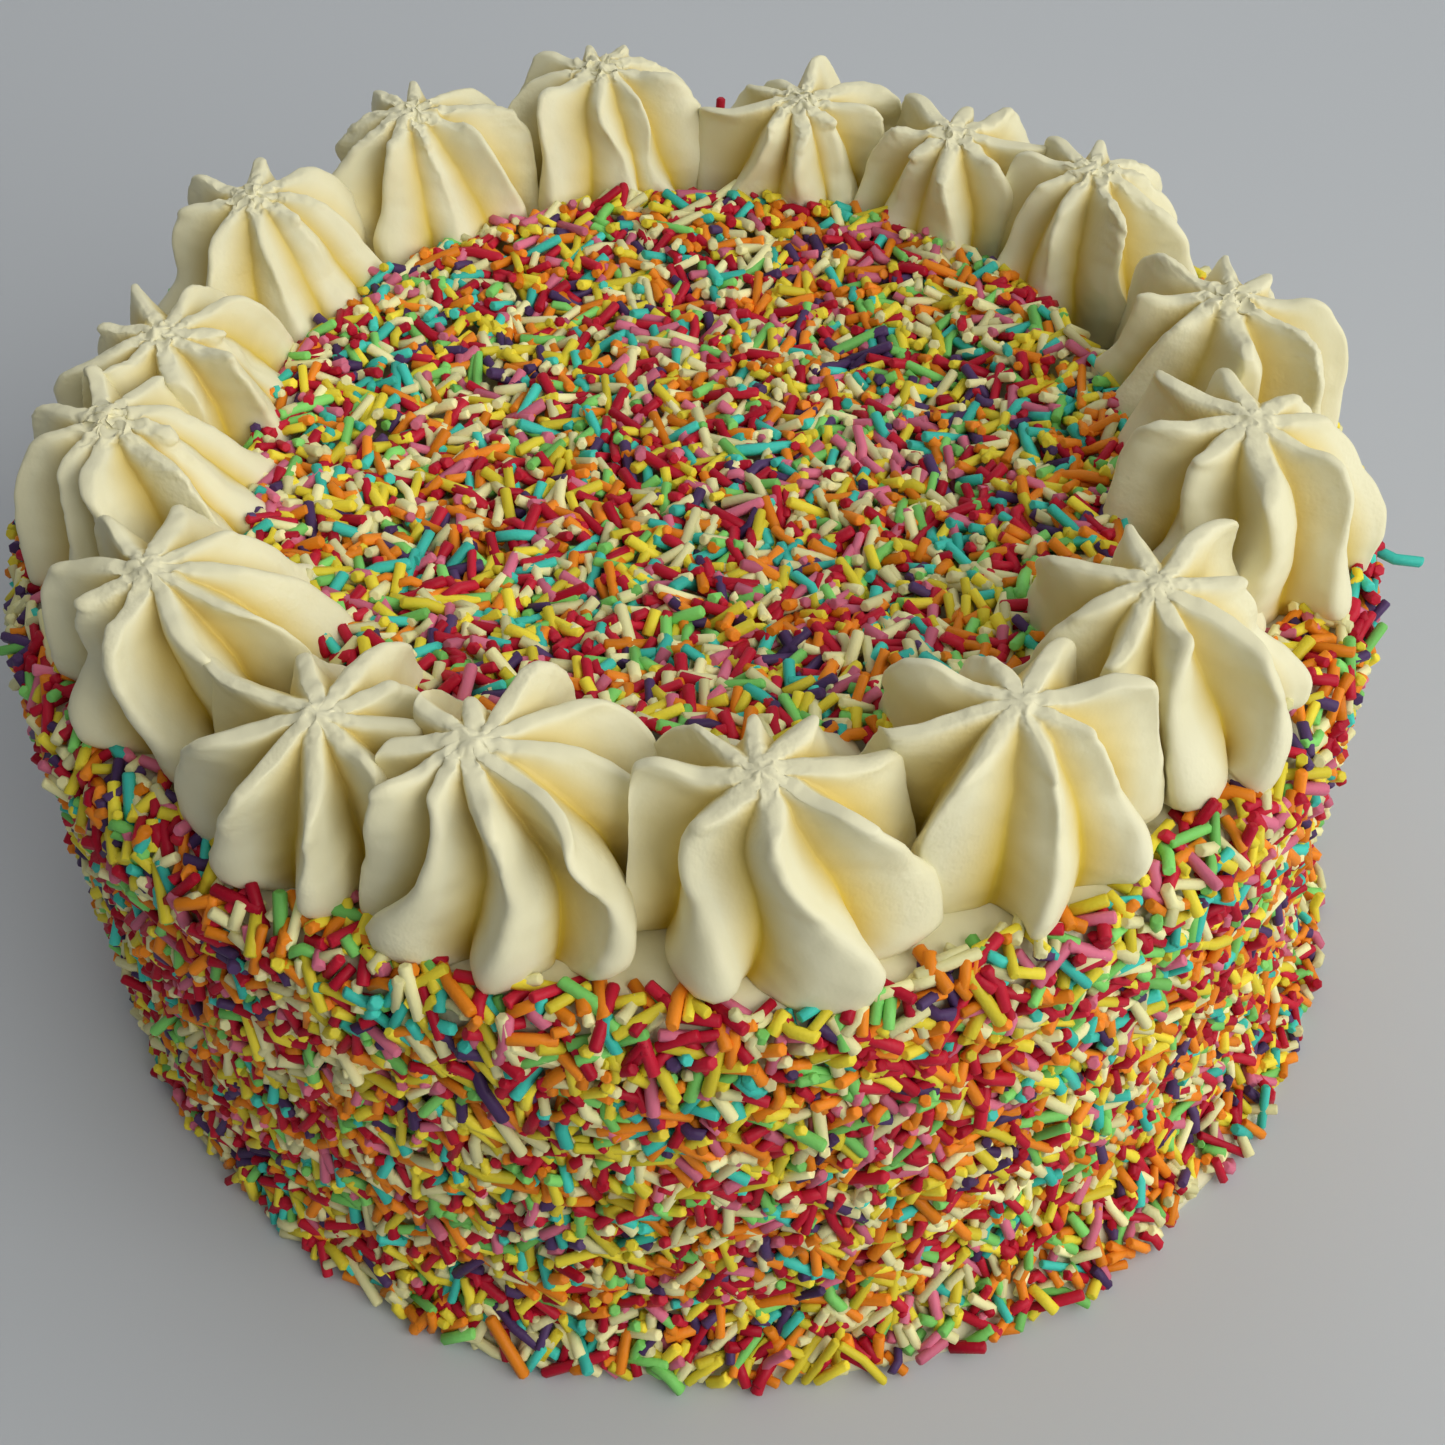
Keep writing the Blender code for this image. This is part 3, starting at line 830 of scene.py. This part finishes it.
def strand_shape(name, bend, collection):
    """A strand one unit long and one unit in radius along Z: six sides, blunt ends, maybe a bend."""
    sides = 6
    rings = [(-0.5, 0.72), (-0.465, 1.0), (0.465, 1.0), (0.5, 0.72)]
    if bend:
        rings.insert(2, (0.0, 1.0))
    verts = []
    for along, radius in rings:
        for i in range(sides):
            angle = 2 * math.pi * i / sides
            off = bend * (1 - 4 * along**2)
            verts.append((radius * math.cos(angle) + off, radius * math.sin(angle), along))
    verts += [(0, 0, -0.505), (0, 0, 0.505)]
    mesh = bpy.data.meshes.new(name)
    mesh.from_pydata(verts, [], rings_to_faces(len(rings), sides))
    mesh.shade_smooth()
    for face in mesh.polygons[-2 * sides :]:
        face.use_smooth = False
    obj = bpy.data.objects.new(name, mesh)
    collection.objects.link(obj)
    return obj


def strand_tree():
    """A tree that puts a strand on each point and ends in a realized mesh with its material."""
    tree = bpy.data.node_groups.new("scattered strands", "GeometryNodeTree")
    wanted = (
        ("Places", "INPUT", "NodeSocketGeometry"),
        ("Strand shapes", "INPUT", "NodeSocketCollection"),
        ("Thickness", "INPUT", "NodeSocketFloat"),
        ("Seed", "INPUT", "NodeSocketInt"),
        ("Sugar", "INPUT", "NodeSocketMaterial"),
        ("Strands", "OUTPUT", "NodeSocketGeometry"),
    )
    for name, way, kind in wanted:
        tree.interface.new_socket(name, in_out=way, socket_type=kind)
    given = add_node(tree, "NodeGroupInput").outputs
    shapes = add_node(tree, "GeometryNodeCollectionInfo", links={"Collection": given["Strand shapes"]})
    shapes.inputs["Separate Children"].default_value = True
    shapes.inputs["Reset Children"].default_value = True
    turn = add_node(tree, "GeometryNodeInputNamedAttribute", {"data_type": "FLOAT_VECTOR"}, Name="turn")
    size = add_node(tree, "GeometryNodeInputNamedAttribute", {"data_type": "FLOAT_VECTOR"}, Name="size")
    rotation = add_node(tree, "FunctionNodeEulerToRotation", links={"Euler": turn.outputs["Attribute"]})
    thick = add_node(tree, "ShaderNodeCombineXYZ", Z=1.0)
    tree.links.new(given["Thickness"], thick.inputs["X"])
    tree.links.new(given["Thickness"], thick.inputs["Y"])
    scale = add_node(tree, "ShaderNodeVectorMath", {"operation": "MULTIPLY"})
    tree.links.new(size.outputs["Attribute"], scale.inputs[0])
    tree.links.new(thick.outputs["Vector"], scale.inputs[1])
    which = add_node(tree, "FunctionNodeRandomValue", {"data_type": "INT"}, links={"Seed": given["Seed"]})
    which.inputs[4].default_value = 0
    which.inputs[5].default_value = len(STRAND_BENDS) - 1
    tint = add_node(tree, "FunctionNodeRandomValue", {"data_type": "FLOAT"}, links={"Seed": given["Seed"]})
    placed = add_node(tree, "GeometryNodeInstanceOnPoints", links={
        "Points": given["Places"],
        "Instance": shapes.outputs["Instances"],
        "Instance Index": which.outputs[2],
        "Rotation": rotation.outputs["Rotation"],
        "Scale": scale.outputs["Vector"],
    })
    placed.inputs["Pick Instance"].default_value = True
    named = add_node(tree, "GeometryNodeStoreNamedAttribute", {"domain": "INSTANCE"}, links={
        "Geometry": placed.outputs["Instances"],
        "Value": tint.outputs[1],
    }, Name="tint")
    joined = add_node(tree, "GeometryNodeRealizeInstances", links={"Geometry": named.outputs["Geometry"]})
    dressed = add_node(tree, "GeometryNodeSetMaterial", links={
        "Geometry": joined.outputs["Geometry"],
        "Material": given["Sugar"],
    })
    add_node(tree, "NodeGroupOutput", links={"Strands": dressed.outputs["Geometry"]})
    return tree


def scatter(name, rows, tree, shapes, material, draw):
    """All the strands of one colour as one plain mesh."""
    mesh = bpy.data.meshes.new(f"{name} places")
    mesh.from_pydata([tuple(place) for place, _, _, _ in rows], [], [])
    turns = []
    sizes = []
    for _, way, length, radius in rows:
        roll = Matrix.Rotation(draw.uniform(0, 2 * math.pi), 4, "Z")
        turned = Vector(way).to_track_quat("Z", "Y").to_matrix().to_4x4() @ roll
        turns.extend(turned.to_euler("XYZ"))
        sizes.extend((radius / STRAND_RADIUS, radius / STRAND_RADIUS, length))
    for label, values in (("turn", turns), ("size", sizes)):
        layer = mesh.attributes.new(label, "FLOAT_VECTOR", "POINT")
        layer.data.foreach_set("vector", np.array(values, dtype=np.float32))
    places = bpy.data.objects.new(f"{name} places", mesh)
    bpy.context.scene.collection.objects.link(places)
    modifier = places.modifiers.new("scattered strands", "NODES")
    modifier.node_group = tree
    sockets = {item.name: item.identifier for item in tree.interface.items_tree}
    modifier[sockets["Strand shapes"]] = shapes
    modifier[sockets["Thickness"]] = STRAND_RADIUS
    modifier[sockets["Seed"]] = SEED
    modifier[sockets["Sugar"]] = material
    graph = bpy.context.evaluated_depsgraph_get()
    made = bpy.data.meshes.new_from_object(places.evaluated_get(graph), depsgraph=graph)
    places.modifiers.clear()
    bpy.data.objects.remove(places)
    made.name = name
    obj = bpy.data.objects.new(name, made)
    bpy.context.scene.collection.objects.link(obj)
    return obj


def odd_row(odd):
    """The place, way, length and radius of a strand that sticks out."""
    way = np.array(odd.way) / np.linalg.norm(odd.way)
    return np.array(odd.middle) * MM, way, odd.length * MM, STRAND_RADIUS


def make_strands():
    """The sugar strands, one piece for each colour."""
    draw = np.random.default_rng(SEED)
    wall = strands_on_wall(draw)
    top = strands_on_top(draw)
    shapes = bpy.data.collections.new("strand shapes")
    bpy.context.scene.collection.children.link(shapes)
    for letter, bend in zip("abcd", STRAND_BENDS):
        strand_shape(f"strand_shape_{letter}", bend, shapes)
    tree = strand_tree()
    wall_share = np.array([s.on_wall for s in STRANDS])
    top_share = np.array([s.on_top for s in STRANDS])
    wall_colours = draw.choice(len(STRANDS), len(wall), p=wall_share / wall_share.sum())
    top_colours = draw.choice(len(STRANDS), len(top), p=top_share / top_share.sum())
    pieces = []
    for i, strand in enumerate(STRANDS):
        rows = [row for row, colour in zip(wall, wall_colours) if colour == i]
        rows += [row for row, colour in zip(top, top_colours) if colour == i]
        rows += [odd_row(odd) for odd in ODD_STRANDS if odd.name == strand.name]
        name = f"sugar_strands_{strand.name}"
        pieces.append(scatter(name, rows, tree, shapes, sugar_strand(strand), draw))
    for shape in list(shapes.objects):
        bpy.data.objects.remove(shape)
    bpy.data.collections.remove(shapes)
    return pieces


def make_camera():
    camera = bpy.data.cameras.new("camera")
    camera.lens = CAMERA_LENS
    camera.sensor_width = 36.0
    camera.clip_start = 0.01
    camera.clip_end = 20.0
    obj = bpy.data.objects.new("camera", camera)
    obj.location = Vector(CAMERA_PLACE) * MM
    obj.rotation_euler = [math.radians(angle) for angle in CAMERA_TURN]
    bpy.context.scene.collection.objects.link(obj)
    bpy.context.scene.camera = obj


def soft_light(name, place, size, power, colour):
    """A large square lamp that faces the cake."""
    lamp = bpy.data.lights.new(name, "AREA")
    lamp.size = size
    lamp.energy = power
    lamp.color = linear(colour)[:3]
    obj = bpy.data.objects.new(name, lamp)
    obj.location = place
    facing = Vector(LAMPS_AIM) - Vector(place)
    obj.rotation_euler = facing.to_track_quat("-Z", "Y").to_euler()
    bpy.context.scene.collection.objects.link(obj)


def make_studio():
    """A pale floor, a window-like lamp at the front right, other large soft lamps, and a faint sky."""
    material, tree, shader = new_material("pale matt paint")
    place = add_node(tree, "ShaderNodeTexCoord").outputs["Object"]
    cloud = add_node(tree, "ShaderNodeTexNoise", links={"Vector": place}, Scale=3.0, Detail=2.0)
    blend = add_node(tree, "ShaderNodeMix", {"data_type": "RGBA"})
    tree.links.new(cloud.outputs["Fac"], blend.inputs[0])
    blend.inputs[6].default_value = linear(FLOOR_COLOURS[0])
    blend.inputs[7].default_value = linear(FLOOR_COLOURS[1])
    tree.links.new(blend.outputs[2], shader.inputs["Base Color"])
    shader.inputs["Roughness"].default_value = 0.55
    mesh = bpy.data.meshes.new("floor")
    half = FLOOR_REACH
    corners = [(-half, -half, 0), (half, -half, 0), (half, half, 0), (-half, half, 0)]
    mesh.from_pydata(corners, [], [(0, 1, 2, 3)])
    mesh.materials.append(material)
    floor = bpy.data.objects.new("floor", mesh)
    bpy.context.scene.collection.objects.link(floor)
    for lamp in LAMPS:
        soft_light(*lamp)
    world = bpy.data.worlds.new("soft daylight")
    world.use_nodes = True
    sky = world.node_tree.nodes["Background"]
    sky.inputs["Color"].default_value = linear(SKY_COLOUR)
    sky.inputs["Strength"].default_value = SKY_STRENGTH
    bpy.context.scene.world = world
    # The photograph's plain contrast, without the film-like curve that greys strong colours
    bpy.context.scene.view_settings.view_transform = "Standard"


def main():
    make_camera()
    make_studio()
    spread_cream = whipped_buttercream("spread buttercream", SPREAD_POROUS)
    piped_cream = whipped_buttercream("piped buttercream", PIPED_POROUS)
    body = make_body(spread_cream)
    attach(body, "root")
    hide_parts("cake")
    for index in range(len(ROSETTES)):
        rosette = make_rosette(index, piped_cream)
        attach(rosette, "root")
        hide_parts(f"rosette_{index + 1:02d}")
    for strands in make_strands():
        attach(strands, "root")
        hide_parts("cake")


main()
